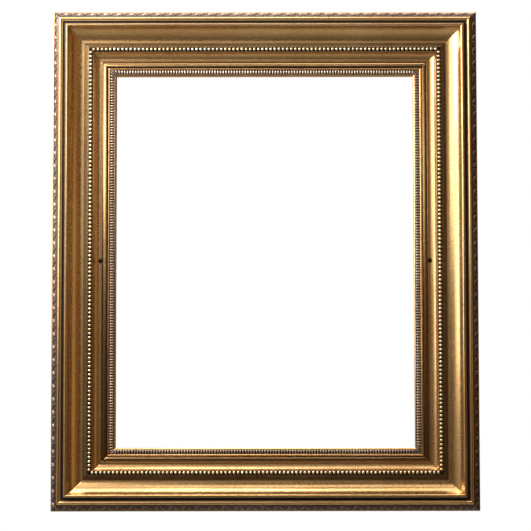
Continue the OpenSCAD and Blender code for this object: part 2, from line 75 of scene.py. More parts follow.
def mitredX(side, x, u, middle, blend=10.0):
    # keeps x straight across the rail, and leans it into the mitre over the last blend mm
    end = halfSight(side) + middle
    near = np.clip((np.abs(x) - end + blend) / blend, 0, 1)
    return x + np.sign(x) * (u - middle) * near * near * (3 - 2 * near)


def evenRun(side, middle, endGap, pitch):
    # centres of the repeats along a rail: as many as fit between the end gaps, evened out
    length = 2 * (halfSight(side) + middle - endGap)
    count = round(length / pitch)
    return (np.arange(count + 1) / count - 0.5) * length


def gridPart(points, uv=None, relief=0.0, closeRows=False, capTone=None, tone=0):
    # a closed surface over a grid: its columns meet round it, and its end rows meet, or are closed by caps;
    # a tone is the number of a face's finish
    rows, columns = points.shape[:2]
    r = np.arange(rows if closeRows else rows - 1)[:, None]
    c = np.arange(columns)[None, :]
    corners = [(r, c), (r, c + 1), (r + 1, c + 1), (r + 1, c)]
    groups = [together(*[(a % rows) * columns + b % columns for a, b in corners]).reshape(-1, 4)]
    if uv is None:
        uv = np.zeros((rows + 1, columns + 1, 2))
    uvs = [np.stack([uv[np.minimum(a, uv.shape[0] - 1), np.minimum(b, uv.shape[1] - 1)]
                     for a, b in corners], -2).reshape(-1, 2)]
    tones = [np.broadcast_to(tone, (r.size, c.size)).ravel()]
    if capTone is not None:
        groups += [c[:, ::-1], c + (rows - 1) * columns]
        ends = np.arange(columns) % uv.shape[1]
        uvs += [uv[0, ends][::-1], uv[-1, ends]]
        tones += [np.array([capTone, capTone])]
    return turnedOut({"points": points.reshape(-1, 3), "faces": groups, "uv": np.concatenate(uvs),
                      "relief": np.broadcast_to(relief, (rows, columns)).ravel(),
                      "tone": np.concatenate(tones)})


def turnedOut(part):
    # turns a closed part that is inside out: the sum of p0 . (p1 x p2) over its faces is then negative
    p = part["points"] - part["points"][0]
    volume = 0.0
    for faces in part["faces"]:
        for k in range(1, faces.shape[1] - 1):
            volume += np.einsum("ij,ij->", p[faces[:, 0]], np.cross(p[faces[:, k]], p[faces[:, k + 1]]))
    if volume < 0:
        start = 0
        flipped = []
        for i, faces in enumerate(part["faces"]):
            end = start + faces.size
            flipped.append(part["uv"][start:end].reshape(faces.shape + (2,))[:, ::-1].reshape(-1, 2))
            part["faces"][i] = faces[:, ::-1]
            start = end
        part["uv"] = np.concatenate(flipped)
    return part


def repeated(part, places):
    # copies a part to many places, each given as the part's points moved there
    count, size = len(places), len(part["points"])
    shift = (np.arange(count) * size)[:, None, None]
    faces, uvs, tones, startUV, startTone = [], [], [], 0, 0
    for group in part["faces"]:
        faces.append((group[None] + shift).reshape(-1, group.shape[1]))
        uvs.append(np.tile(part["uv"][startUV:startUV + group.size], (count, 1)))
        tones.append(np.tile(part["tone"][startTone:startTone + len(group)], count))
        startUV += group.size
        startTone += len(group)
    return {"points": np.asarray(places).reshape(-1, 3), "faces": faces, "uv": np.concatenate(uvs),
            "relief": np.tile(part["relief"], count), "tone": np.concatenate(tones)}


def makePiece(name, parts, finishes, body, replaces=(), sharpAngle=32):
    # joins closed parts in one mesh, with its UV map, its relief attribute and its finishes
    points = np.concatenate([p["points"] for p in parts])
    corners, sizes, base = [], [], 0
    for p in parts:
        for faces in p["faces"]:
            corners.append((faces + base).ravel())
            sizes.append(np.full(len(faces), faces.shape[1]))
        base += len(p["points"])
    corners, sizes = np.concatenate(corners), np.concatenate(sizes)
    mesh = bpy.data.meshes.new(name)
    mesh.vertices.add(len(points))
    mesh.vertices.foreach_set("co", points.astype(np.float32).ravel())
    mesh.loops.add(len(corners))
    mesh.loops.foreach_set("vertex_index", corners.astype(np.int32))
    mesh.polygons.add(len(sizes))
    mesh.polygons.foreach_set("loop_start", (np.cumsum(sizes) - sizes).astype(np.int32))
    for finish in finishes:
        mesh.materials.append(finish)
    tones = np.concatenate([p["tone"] for p in parts]).astype(np.int32)
    mesh.polygons.foreach_set("material_index", tones)
    mesh.update(calc_edges=True)
    uvLayer = mesh.uv_layers.new(name="along")
    uvLayer.data.foreach_set("uv", np.concatenate([p["uv"] for p in parts]).astype(np.float32).ravel())
    relief = mesh.attributes.new("relief", "FLOAT", "POINT")
    relief.data.foreach_set("value", np.concatenate([p["relief"] for p in parts]).astype(np.float32))
    mesh.validate()
    mesh.polygons.foreach_set("use_smooth", np.ones(len(mesh.polygons), bool))
    mesh.set_sharp_from_angle(angle=math.radians(sharpAngle))
    piece = bpy.data.objects.new(name, mesh)
    bpy.context.scene.collection.objects.link(piece)
    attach(piece, body)
    if replaces:
        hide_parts(*replaces)


def arc(u, h, radius, start, end, steps):
    # points on a circle about (u, h), by angle in degrees
    angle = np.radians(np.linspace(start, end, steps + 1))
    return together(u + radius * np.cos(angle), h + radius * np.sin(angle))


def softened(outline, radius, sharpFrom=0.4, mostCut=0.4):
    # every corner that turns by more than sharpFrom radians becomes a short curve: two cut points, and
    # between them their mean with the corner; a cut takes at most that share of a side
    before, after = outline - np.roll(outline, 1, 0), np.roll(outline, -1, 0) - outline
    lengthBefore, lengthAfter = np.linalg.norm(before, axis=1), np.linalg.norm(after, axis=1)
    turn = np.arccos(np.clip(np.sum(before * after, 1) / (lengthBefore * lengthAfter), -1, 1))
    cut = np.where(turn > sharpFrom, np.minimum(radius, mostCut * np.minimum(lengthBefore, lengthAfter)), 0)
    start = outline - before * (cut / lengthBefore)[:, None]
    end = outline + after * (cut / lengthAfter)[:, None]
    curve = np.stack([start, (start + 2 * outline + end) / 4, end], 1)
    keep = np.stack([cut >= 0, cut > 0, cut > 0], 1)
    return curve.reshape(-1, 2)[keep.ravel()]


def outlineNormals(outline):
    # outward normals of a closed outline, by its neighbours on each side
    along = np.roll(outline, -1, 0) - np.roll(outline, 1, 0)
    normal = together(along[:, 1], -along[:, 0])
    normal /= np.linalg.norm(normal, axis=1)[:, None]
    area = np.sum(outline[:, 0] * np.roll(outline[:, 1], -1) - outline[:, 1] * np.roll(outline[:, 0], -1))
    return normal * np.sign(area)


def outlineRelief(outline, reach, full):
    # how far each point stands out of the outline smoothed over reach, as a share of full
    step = np.linalg.norm(np.roll(outline, -1, 0) - outline, axis=1)
    place = np.concatenate([[0], np.cumsum(step)[:-1]])
    weight = np.exp(-((place[:, None] - place[None, :]) ** 2) / (2 * reach * reach))
    weight *= (step + np.roll(step, 1))[None, :]
    smooth = weight @ outline / weight.sum(1)[:, None]
    return np.clip(np.sum((outline - smooth) * outlineNormals(outline), 1) / full, -1, 1)


def runUV(side, x, across, row=0):
    # pattern coordinates of a run: along its rail, and round its section from a row of its own
    return together(x[:, None] + patternShift * quarterTurns[side], across[None, :] + row) * mm


# the mitre's worn line: how far from it the rail's rows lie, and how deep they are sunk
mitre = {"steps": 49, "seam": (0.03, 0.16, 0.5), "depth": (0.16, 0.06, 0.0), "last": 2.5}


def mouldingPart(side, outline, relief, tones, capTone, extra=(), press=None):
    # carries a closed outline along a rail, from mitre to mitre: x is a share of the mitred half length
    half = halfSight(side)
    inner = np.linspace(-1, 1, mitre["steps"])[1:-1]
    ends = 1 - np.array([*mitre["seam"], mitre["last"]]) / half
    share = np.unique(np.concatenate([-ends, inner, ends, np.asarray(extra) / half]))
    depth = np.interp((1 - np.abs(share)) * half, mitre["seam"], mitre["depth"])
    across = outline[None] - outlineNormals(outline)[None] * depth[:, None, None]
    u, h = across[..., 0], across[..., 1]
    x = share[:, None] * (half + u)
    if press is not None:
        h = press(x, u, h)
    step = np.linalg.norm(np.roll(outline, -1, 0) - outline, axis=1)
    uv = runUV(side, share * half, np.concatenate([[0], np.cumsum(step)]))
    return gridPart(toWorld(side, x, u, h), uv, relief[None, :], capTone=capTone, tone=tones[None, :])


def bandPart(side, x, u, h, relief, middle, row):
    # a strip over (x, across), whose first and last columns are the edges of its flat underside
    place = mitredX(side, x[:, None], u, middle)
    uv = runUV(side, x, np.append(u[0], u[0, 0]), row)
    return gridPart(toWorld(side, place, u, h), uv, np.pad(relief, bothSides, mode="edge"), capTone=0)


def revolvedPart(outline, count, relief=0.0):
    # turns an open outline of (radius, height) about Z, and closes it at its two ends
    angle = np.linspace(0, 2 * np.pi, count, endpoint=False)
    r, z = outline[:, :1], outline[:, 1:]
    points = together(r * np.cos(angle), r * np.sin(angle), z)
    return gridPart(points, None, np.reshape(relief, (-1, 1)), capTone=0)


def tubePart(path, radius, sides):
    # carries a circle along a closed flat path: its spokes are the path's own normal and Z
    along = np.roll(path, -1, 0) - np.roll(path, 1, 0)
    along /= np.linalg.norm(along, axis=1)[:, None]
    across = together(along[:, 1], -along[:, 0], 0.0)
    angle = np.linspace(0, 2 * np.pi, sides, endpoint=False)[None, :, None]
    spokes = np.cos(angle) * across[:, None] + np.sin(angle) * np.array([0, 0, 1.0])
    return gridPart(path[:, None] + radius * spokes, closeRows=True)


screwShape = {  # what all slotted screws here share; slices lie at these angles over the head
    "slices": (-84, -70, -52, -34, -20), "slotWidth": 0.8, "slotDepth": 0.7, "slotRound": 0.06,
    "headShade": 0.2, "across": 15, "tip": 0.2, "tipShare": 0.6, "tipLengths": (0.8, 3.0), "into": 0.3,
    "sides": 16}


def slottedScrew(screw):
    # the head is sliced across its slot: each slice is a closed loop, topped by the dome or the slot's floor
    k = screwShape
    radius, height, slot = screw["headRadius"], screw["headHeight"], k["slotWidth"] / 2
    edge = radius * np.sin(np.radians(k["slices"]))
    lip = slot + k["slotRound"]
    y = np.concatenate([edge, [-lip, -slot, -slot, 0, slot, slot, lip], -edge[::-1]])
    inSlot = np.zeros(len(y), bool)
    inSlot[len(edge) + 2:len(edge) + 5] = True
    half = np.sqrt(radius ** 2 - y ** 2)
    x = half[:, None] * np.sin(np.radians(np.linspace(-90, 90, k["across"])))[None, :]
    dome = (2 * radius ** 2 + height ** 2) / (2 * height)
    top = height - dome + np.sqrt(dome ** 2 - x ** 2 - y[:, None] ** 2)
    top = np.where(inSlot[:, None], height - k["slotDepth"], top)
    points = together(np.pad(x, bothSides, mode="edge"), y[:, None], np.pad(top, bothSides))
    head = gridPart(points, None, np.where(inSlot, -1.0, k["headShade"])[:, None], capTone=0)
    shank, end = screw["shankRadius"], -screw["length"]
    outline = np.array([[k["tip"], end], [shank * k["tipShare"], end + k["tipLengths"][0]],
                        [shank, end + k["tipLengths"][1]], [shank, k["into"]], [k["tip"], k["into"]]])
    return [head, revolvedPart(outline, k["sides"])]


def placed(parts, *spots):
    # copies parts (right, up, out of the surface) to spots on the rails, each (side, x, u, h, facing);
    # facing is 1 on a rail's front, -1 on its back
    made = []
    for part in parts:
        right, up, out = part["points"].T
        places = [toWorld(side, x + right * facing, u + up, h + out * facing)
                  for side, x, u, h, facing in spots]
        made.append(turnedOut(repeated(part, places)))
    return made


def linear(hexColour):
    # sRGB hex to linear light
    s = np.array([int(hexColour[i:i + 2], 16) for i in (1, 3, 5)]) / 255
    return (*np.where(s <= 0.04045, s / 12.92, ((s + 0.055) / 1.055) ** 2.4), 1.0)


def feed(tree, node, sockets):
    # links sockets, or the first outputs of other nodes, to a node's inputs
    for key, value in sockets.items():
        tree.links.new(getattr(value, "outputs", [value])[0], node.inputs[key])


def addNode(tree, kind, settings=None, inputs=None, stops=None):
    # adds a shader node, sets its properties and inputs, links those given as sockets or nodes, fills a ramp
    made = tree.nodes.new("ShaderNode" + kind)
    for key, value in (settings or {}).items():
        setattr(made, key, value)
    for key, value in (inputs or {}).items():
        if isinstance(value, (bpy.types.Node, bpy.types.NodeSocket)):
            feed(tree, made, {key: value})
        else:
            made.inputs[key].default_value = value
    if stops:
        ramp = made.color_ramp
        while len(ramp.elements) < len(stops):
            ramp.elements.new(0.5)
        for element, (position, colour) in zip(ramp.elements, stops):
            element.position = position
            element.color = linear(colour) if isinstance(colour, str) else (colour, colour, colour, 1)
    return made


def newFinish(name, surface):
    # an empty material with one Principled surface whose uniform values are set on its own sockets
    material = bpy.data.materials.new(name)
    material.use_nodes = True
    tree = material.node_tree
    shader = tree.nodes["Principled BSDF"]
    for key, value in surface.items():
        shader.inputs[key].default_value = value
    return material, tree, shader


def perMm(*lengths):
    # scales of a pattern that repeats by these lengths in mm
    return tuple(1 / (length * mm) for length in lengths)


def gildedFinish(name, look):
    # leaf laid on clay and rubbed: clouds and long streaks, clay on the crests, and dark wax in the hollows
    # which also paints their shade
    material, tree, shader = newFinish(name, {
        "Coat Roughness": look["glazeRoughness"], "Coat IOR": 1.5,
        "Anisotropic": look["drawn"], "Anisotropic Rotation": 0.25})
    along = addNode(tree, "UVMap", {"uv_map": "along"})
    place = addNode(tree, "TexCoord")
    relief = addNode(tree, "Attribute", {"attribute_name": "relief"})
    stretch = addNode(tree, "Mapping", inputs={
        "Vector": along, "Scale": (*perMm(look["streakLength"], look["streakWidth"]), 1)})
    streak = addNode(tree, "TexNoise", inputs={
        "Vector": stretch, "Scale": 1.0, "Detail": 4.0, "Roughness": 0.62})
    cloud = addNode(tree, "TexNoise", inputs={
        "Vector": place.outputs["Object"], "Scale": perMm(look["cloud"])[0],
        "Detail": 3.0, "Roughness": 0.55})
    speck = addNode(tree, "TexNoise", inputs={
        "Vector": place.outputs["Object"], "Scale": perMm(look["speck"])[0],
        "Detail": 2.0, "Roughness": 0.6})
    both = addNode(tree, "Mix", {"data_type": "FLOAT"}, {0: look["cloudShare"], 2: streak, 3: cloud})
    tone = addNode(tree, "ValToRGB", inputs={"Fac": both}, stops=look["tones"])
    leaves = addNode(tree, "TexBrick", {"offset": 0.37}, {
        "Vector": along, "Scale": 1.0, "Brick Width": look["leafSize"] * mm,
        "Row Height": look["leafSize"] * mm, "Mortar Size": 0.0008, "Mortar Smooth": 1.0,
        "Color1": (1, 1, 1, 1), "Color2": (0.86, 0.86, 0.86, 1), "Mortar": (0.72, 0.66, 0.6, 1)})
    leafed = addNode(tree, "Mix", {"data_type": "RGBA", "blend_type": "MULTIPLY"}, {
        0: look["leafShow"], 6: tone, 7: leaves})
    worn = addNode(tree, "Math", {"operation": "MULTIPLY_ADD"}, {
        0: relief.outputs["Fac"], 1: look["wearBy"], 2: speck})
    clay = addNode(tree, "ValToRGB", inputs={"Fac": worn}, stops=[
        (0.0, 0.0), (look["wearFrom"], 0.0), (1.0, 0.8)])
    rubbed = addNode(tree, "Mix", {"data_type": "RGBA"}, {
        0: clay, 6: leafed.outputs[2], 7: linear(look["clay"])})
    # the lower the relief, the more of the dark wax colour: wax in the hollows, and painted shade in gaps,
    # cuts and under the beads
    deep = addNode(tree, "Math", {"operation": "MULTIPLY_ADD"}, {
        0: relief.outputs["Fac"], 1: -1.0, 2: look["waxAndShadeSpread"]})
    patchy = addNode(tree, "Math", {"operation": "MULTIPLY_ADD", "use_clamp": True}, {
        0: speck, 1: 0.5, 2: deep})
    waxAndShade = addNode(tree, "ValToRGB", inputs={"Fac": patchy}, stops=[
        (0.0, 0.0), (0.3, 0.0), (0.85, 1.0)])
    waxedAndShaded = addNode(tree, "Mix", {"data_type": "RGBA"}, {
        0: waxAndShade, 6: rubbed.outputs[2], 7: linear(look["waxAndShade"])})
    metal = addNode(tree, "MapRange", inputs={"Value": waxAndShade, "To Min": 1.0, "To Max": 0.25})
    rough = addNode(tree, "MapRange", inputs={
        "Value": streak, "From Min": 0.3, "From Max": 0.7,
        "To Min": look["roughness"][0], "To Max": look["roughness"][1]})
    matt = addNode(tree, "Mix", {"data_type": "FLOAT"}, {0: waxAndShade, 2: rough, 3: look["waxRough"]})
    gloss = addNode(tree, "MapRange", inputs={
        "Value": waxAndShade, "To Min": look["glaze"], "To Max": look["glaze"] * look["waxedGlaze"]})
    grain = addNode(tree, "Mix", {"data_type": "FLOAT"}, {0: 0.45, 2: streak, 3: speck})
    bump = addNode(tree, "Bump", inputs={
        "Height": grain, "Strength": look["bump"], "Distance": 0.0004})
    tangent = addNode(tree, "Tangent", {"direction_type": "UV_MAP", "uv_map": "along"})
    feed(tree, shader, {
        "Base Color": waxedAndShaded.outputs[2], "Metallic": metal, "Roughness": matt, "Coat Weight": gloss,
        "Normal": bump, "Tangent": tangent})
    return material


def woodFinish(name, look):
    # sawn softwood: rings stretched along the rail, fine dark fibres across them, no gloss
    material, tree, shader = newFinish(name, {"IOR": 1.45})
    along = addNode(tree, "UVMap", {"uv_map": "along"})
    stretch = addNode(tree, "Mapping", inputs={
        "Vector": along, "Scale": (*perMm(look["grainLength"], look["ringWidth"]), 1)})
    rings = addNode(tree, "TexNoise", inputs={
        "Vector": stretch, "Scale": 1.0, "Detail": 3.0, "Distortion": 0.6})
    fine = addNode(tree, "Mapping", inputs={
        "Vector": along, "Scale": (*perMm(*look["fibre"]), 1)})
    fibre = addNode(tree, "TexNoise", inputs={"Vector": fine, "Scale": 1.0, "Detail": 2.0})
    tone = addNode(tree, "ValToRGB", inputs={"Fac": rings}, stops=look["tones"])
    shade = addNode(tree, "MapRange", inputs={
        "Value": fibre, "From Min": 0.35, "From Max": 0.65, "To Min": 0.78, "To Max": 1.06})
    colour = addNode(tree, "Mix", {"data_type": "RGBA", "blend_type": "MULTIPLY"}, {
        0: 1.0, 6: tone, 7: shade})
    rough = addNode(tree, "MapRange", inputs={
        "Value": fibre, "To Min": look["roughness"][0], "To Max": look["roughness"][1]})
    bump = addNode(tree, "Bump", inputs={
        "Height": fibre, "Strength": look["bump"], "Distance": 0.0003})
    feed(tree, shader, {"Base Color": colour.outputs[2], "Roughness": rough, "Normal": bump})
    return material


def workedMetal(name, look):
    # rolled and plated metal: faint rolling lines, a cloudy bloom, fine scratches and grime in recesses
    material, tree, shader = newFinish(name, {"Metallic": 1.0})
    place = addNode(tree, "TexCoord")
    relief = addNode(tree, "Attribute", {"attribute_name": "relief"})
    bloom = addNode(tree, "TexNoise", inputs={
        "Vector": place.outputs["Object"], "Scale": perMm(look["bloom"])[0], "Detail": 4.0})
    stretch = addNode(tree, "Mapping", inputs={
        "Vector": place.outputs["Object"], "Scale": perMm(*look["lines"])})
    lines = addNode(tree, "TexNoise", inputs={"Vector": stretch, "Scale": 1.0, "Detail": 2.0})
    tone = addNode(tree, "ValToRGB", inputs={"Fac": bloom}, stops=look["tones"])
    grime = addNode(tree, "Math", {"operation": "MULTIPLY", "use_clamp": True}, {
        0: relief.outputs["Fac"], 1: -0.8})
    colour = addNode(tree, "Mix", {"data_type": "RGBA"}, {
        0: grime, 6: tone, 7: linear(look["grime"])})
    rough = addNode(tree, "MapRange", inputs={
        "Value": lines, "From Min": 0.3, "From Max": 0.7,
        "To Min": look["roughness"][0], "To Max": look["roughness"][1]})
    bump = addNode(tree, "Bump", inputs={
        "Height": lines, "Strength": look["bump"], "Distance": 0.0001})
    feed(tree, shader, {"Base Color": colour.outputs[2], "Roughness": rough, "Normal": bump})
    return material


gilding = {  # lengths in mm; tones run from the darkest streak to the lightest
    "glaze": 0.85, "waxedGlaze": 0.15, "glazeRoughness": 0.2, "drawn": 0.45, "streakLength": 220,
    "streakWidth": 3.5, "cloud": 90, "speck": 1.4, "cloudShare": 0.6, "leafSize": 82, "leafShow": 0.2,
    "wearFrom": 0.9, "wearBy": 0.35, "waxAndShadeSpread": -0.05, "waxRough": 0.75, "roughness": (0.19, 0.24),
    "bump": 0.05, "clay": "#8A4C22", "waxAndShade": "#24160A",
    "tones": [(0.3, "#CF9E5F"), (0.45, "#D9A96A"), (0.58, "#E0B475"), (0.72, "#E8BF84")]}
# water gilding on red clay, rubbed and toned with shellac: warm metal with long streaks and dark quirks
railGold = gildedFinish("water gilding, rubbed and toned", gilding)
linerGold = gildedFinish("water gilding, burnished", {**gilding, "roughness": (0.15, 0.2), "wearFrom": 0.88})
# leaf over sand glued to the slope: the grains glint, and the ground between them is kept brown by wax that
# also paints its shade
sandedGold = gildedFinish("gilded sanding", {
    **gilding, "roughness": (0.34, 0.5), "drawn": 0.0, "glaze": 0.15, "waxAndShadeSpread": 0.15,
    "tones": [(0.3, "#745A30"), (0.5, "#967744"), (0.7, "#B89A60")]})
casting = {**gilding, "drawn": 0.0, "leafShow": 0.0, "wearFrom": 0.97}  # what the cast runs share
# composition beads under gold leaf: bright domes, with black wax between them that also paints the shade
# between and under the beads
pearlGold = gildedFinish("gilded composition beads", {
    **casting, "roughness": (0.16, 0.24), "glaze": 0.3, "waxAndShadeSpread": 0.68, "waxAndShade": "#0B0704",
    "tones": [(0.3, "#E2C690"), (0.7, "#F4E2BC")]})
# reeds toned with grey-brown wax: violet-grey crests, and dark gaps that are wax and painted shade
reedGold = gildedFinish("gilded composition reeds, grey wax", {
    **casting, "roughness": (0.3, 0.42), "waxAndShadeSpread": 0.3, "waxAndShade": "#120D0B",
    "tones": [(0.3, "#8C7668"), (0.5, "#A8917F"), (0.7, "#C6AF99")]})
# leaves washed with pinkish ochre: dull rosy gold, a little browner in the cuts, where wax also paints their
# shade
leafGold = gildedFinish("gilded composition leaves, rose wash", {
    **casting, "roughness": (0.2, 0.28), "waxRough": 0.4, "glaze": 0.05, "waxAndShadeSpread": -0.15,
    "waxAndShade": "#1A0F0B", "tones": [(0.3, "#6A5448"), (0.5, "#82695B"), (0.7, "#9A8171")]})
pine = {"grainLength": 120, "ringWidth": 4.5, "fibre": (8, 0.7)}  # lengths in mm
# planed pine: cream with honey rings and fine fibres
bareWood = woodFinish("planed pine", {
    **pine, "roughness": (0.55, 0.75), "bump": 0.35,
    "tones": [(0.3, "#B98A58"), (0.45, "#D2A877"), (0.6, "#DDBB8C"), (0.75, "#C99C68")]})
# pine washed with umber size: dark brown, the grain just shows
washedSide = woodFinish("pine, umber wash", {
    **pine, "roughness": (0.42, 0.6), "bump": 0.3,
    "tones": [(0.3, "#2E1E12"), (0.5, "#4A321D"), (0.7, "#5C4127")]})
# bare mild steel strip: grey with dark scale
nailSteel = workedMetal("mild steel strip", {
    "bloom": 3, "lines": (6, 6, 0.5), "roughness": (0.35, 0.55), "bump": 0.3, "grime": "#2B2927",
    "tones": [(0.35, "#6E6F70"), (0.65, "#9A9C9D")]})
# brass-plated steel sheet: yellow metal with rolling lines
plateBrass = workedMetal("brass-plated sheet", {
    "bloom": 12, "lines": (14, 14, 0.5), "roughness": (0.24, 0.4), "bump": 0.25, "grime": "#4B3517",
    "tones": [(0.35, "#B5924E"), (0.65, "#DDBE7A")]})
# zinc-plated steel: cool grey with a faint bloom
zincPlate = workedMetal("zinc-plated steel", {
    "bloom": 8, "lines": (10, 10, 0.5), "roughness": (0.26, 0.42), "bump": 0.22, "grime": "#3A3A3C",
    "tones": [(0.35, "#A3A6AA"), (0.65, "#C9CCD0")]})
# bronzed brass: near-black brown with a warm glint
bronzedBrass = workedMetal("bronzed brass", {
    "bloom": 1.5, "lines": (1, 1, 0.4), "roughness": (0.32, 0.5), "bump": 0.3, "grime": "#080504",
    "tones": [(0.35, "#241509"), (0.65, "#4A3018")]})


def rubberFinish():
    # moulded rubber: near-black, matt, with a fine dusty grain
    material, tree, shader = newFinish("moulded black rubber", {"IOR": 1.52, "Specular IOR Level": 0.35})
    place = addNode(tree, "TexCoord")
    dust = addNode(tree, "TexNoise", inputs={
        "Vector": place.outputs["Object"], "Scale": 900.0, "Detail": 3.0})
    tone = addNode(tree, "ValToRGB", inputs={"Fac": dust}, stops=[
        (0.35, "#18181A"), (0.7, "#2C2C2E")])
    rough = addNode(tree, "MapRange", inputs={"Value": dust, "To Min": 0.55, "To Max": 0.8})
    bump = addNode(tree, "Bump", inputs={"Height": dust, "Strength": 0.2, "Distance": 0.0001})
    feed(tree, shader, {"Base Color": tone, "Roughness": rough, "Normal": bump})
    return material


bumperRubber = rubberFinish()
print("finishes made:", len(bpy.data.materials))

railOutline = {  # places out from the sight edge, and heights above the back
    "recess": 7.95, "relief": 4.0, "foot": 39.95, "footEdge": 78.1, "edge": 84.6, "edgeLow": 31.5,
    "edgeTop": 34.0, "bevelOut": 83.8, "torus": (74.4, 41.0, 2.4), "fillet": 42.7,
    "groove": (69.7, 42.7, 1.8), "ridge": (65.5, 43.7, 2.4), "scoop": (43.7, 51.304, 21.304),
    "scoopEnd": 63.1, "shoulder": (37.0, 37.5, 34.6), "shelf": (31.6, 33.0), "ledge": 14.0,
    "softening": 0.3, "frontFrom": 28.0, "reliefReach": (1.3, 0.32)}
# painted shade, partly wax: bands whose relief is pushed down so that they come out dark, on the ridge's
# outer side and the groove, on the pearls' shelf and at the scoop's foot: from, to, above, relief at most
tonedAndShaded = ((65.6, 72.3, 38.0, -0.44), (31.0, 37.3, 32.5, -0.7), (37.3, 41.0, 29.0, -0.36),
         (41.0, 45.5, 29.0, -0.2))


def railSection(r):
    # the outer rail's closed outline: step, shelf, slope, scoop, ridge, groove, torus, bevel, side and back
    bead, groove, torus, scoop = r["ridge"], r["groove"], r["torus"], r["scoop"]
    scoopTo = math.degrees(math.acos((r["scoopEnd"] - scoop[0]) / scoop[2]))
    torusFrom = 180 - math.degrees(math.asin((r["fillet"] - torus[1]) / torus[2]))
    outline = np.concatenate([
        [[r["shelf"][0], r["ledge"]], [r["shelf"][0], r["shelf"][1]], [r["shoulder"][0], r["shelf"][1]],
         [r["shoulder"][0], r["shoulder"][2]], [r["shoulder"][1], r["shoulder"][2]]],
        arc(*scoop, -90, -scoopTo, 44),
        arc(*bead, 180, 0, 22), arc(*groove, 180, 360, 14), arc(*torus, torusFrom, 0, 20),
        [[r["bevelOut"], r["edgeTop"]], [r["edge"], r["edgeTop"]], [r["edge"], r["edgeLow"]],
         [r["footEdge"], 0], [r["foot"], 0], [r["foot"], r["relief"]], [r["recess"], r["relief"]],
         [r["recess"], r["ledge"]]]])
    outline = softened(outline, r["softening"])
    middle = (outline + np.roll(outline, -1, 0)) / 2
    side = (middle[:, 0] > r["footEdge"] - 0.1) & (middle[:, 1] < r["edgeLow"]) & (middle[:, 1] > 0.2)
    front = (middle[:, 1] > r["frontFrom"]) & ~side
    return outline, np.where(side, 1, np.where(front, 0, 2))


linerOutline = {
    "lip": 14.5, "ledge": 14.0, "recess": 7.95, "nosing": (3.0, 16.6, 3.0), "bed": 18.9,
    "bead": (10.2, 20.4, 1.4), "groove": 19.8, "step": (12.9, 17.6, 22.2), "quirk": 20.4,
    "crest": (18.5, 19.0, 23.4), "hollow": (21.8, 22.0), "rim": (30.5, 31.3, 28.5), "softening": 0.25,
    "reliefReach": (1.0, 0.28), "screwSpot": (21.0, 21.5, 3.2), "screwRows": (-3.6, 3.6, 33)}


def hollowSide(lowest, edge, steps):
    # an arc that leaves the lowest line level and ends at the edge; its radius is that of their chord
    w, rise = edge[0] - lowest[0], edge[1] - lowest[1]
    radius = (w * w + rise * rise) / (2 * rise)
    end = math.degrees(math.asin(w / radius))
    return arc(lowest[0], lowest[1] + radius, radius, -90, end - 90, steps)


def linerSection(r):
    # the liner's closed outline: nosing, reed bed, bead, step, quirk, hollow, rim and back
    bead, crest, rim, nosing = r["bead"], r["crest"], r["rim"], r["nosing"]
    beadTo = -math.degrees(math.asin((bead[1] - r["groove"]) / bead[2]))
    outline = np.concatenate([
        [[0, r["lip"]]], arc(*nosing, 180, 90, 10),
        [[nosing[0], r["bed"]], [bead[0] - bead[2], r["bed"]]], arc(*bead, 180, beadTo, 12),
        [[r["step"][0], r["groove"]], [r["step"][0], r["step"][2]], [r["step"][1], r["step"][2]],
         [r["step"][1], r["quirk"]], [crest[0], r["quirk"]], [crest[0], crest[2]]],
        hollowSide(r["hollow"], crest[1:], 14)[:0:-1], hollowSide(r["hollow"], rim[::2], 30),
        [[rim[1], rim[2]], [rim[1], r["ledge"]], [r["recess"], r["ledge"]], [r["recess"], r["lip"]]]])
    outline = softened(outline, r["softening"])
    middle = (outline + np.roll(outline, -1, 0)) / 2
    hidden = (middle[:, 0] > rim[1] - 0.02) & (middle[:, 1] < rim[2] - 1)
    front = (middle[:, 1] > r["lip"] + 0.05) & ~hidden
    return outline, np.where(front, 0, 1)


def pressSpot(x, u, h):
    # the spot face of a liner screw: nothing inside its radius stands higher than its floor
    centre, floor, radius = linerOutline["screwSpot"]
    inside = (x * x + (u - centre) ** 2 < radius * radius) & (h > floor)
    return np.where(inside, floor, h)


outerSection, outerTones = railSection(railOutline)
outerRelief = outlineRelief(outerSection, *railOutline["reliefReach"])
# lowers the relief in those bands, which paints their shade
for start, end, above, most in tonedAndShaded:
    inBand = (outerSection[:, 0] > start) & (outerSection[:, 0] < end) & (outerSection[:, 1] > above)
    outerRelief = np.where(inBand, np.minimum(outerRelief, most), outerRelief)
innerSection, innerTones = linerSection(linerOutline)
innerRelief = outlineRelief(innerSection, *linerOutline["reliefReach"])
screwRows = np.linspace(*linerOutline["screwRows"])
for side in quarterTurns:
    makePiece(f"gilded_rail_{side}", [mouldingPart(side, outerSection, outerRelief, outerTones, 2)],
              [railGold, washedSide, bareWood], "frame", [f"outer_rail_{side}"])
    pressed = (screwRows, pressSpot) if side in ("left", "right") else ()
    moulding = mouldingPart(side, innerSection, innerRelief, innerTones, 1, *pressed)
    makePiece(f"gilded_liner_{side}", [moulding],
              [linerGold, bareWood], "frame", [f"liner_{side}"])
print("rails and liners swept")

sanding = {  # the sanded slope: grains in slanting rows
    "from": (37.56, 34.56), "to": (43.3, 30.3), "grainPitch": 2.6, "rowPitch": 2.1, "grainHeight": 0.34,
    "fullness": 0.8, "contrast": (1.6, 0.75), "roughness": 0.045, "step": 0.5, "columns": 17, "sunk": 0.25,
    "seed": 3, "uvRow": 300}


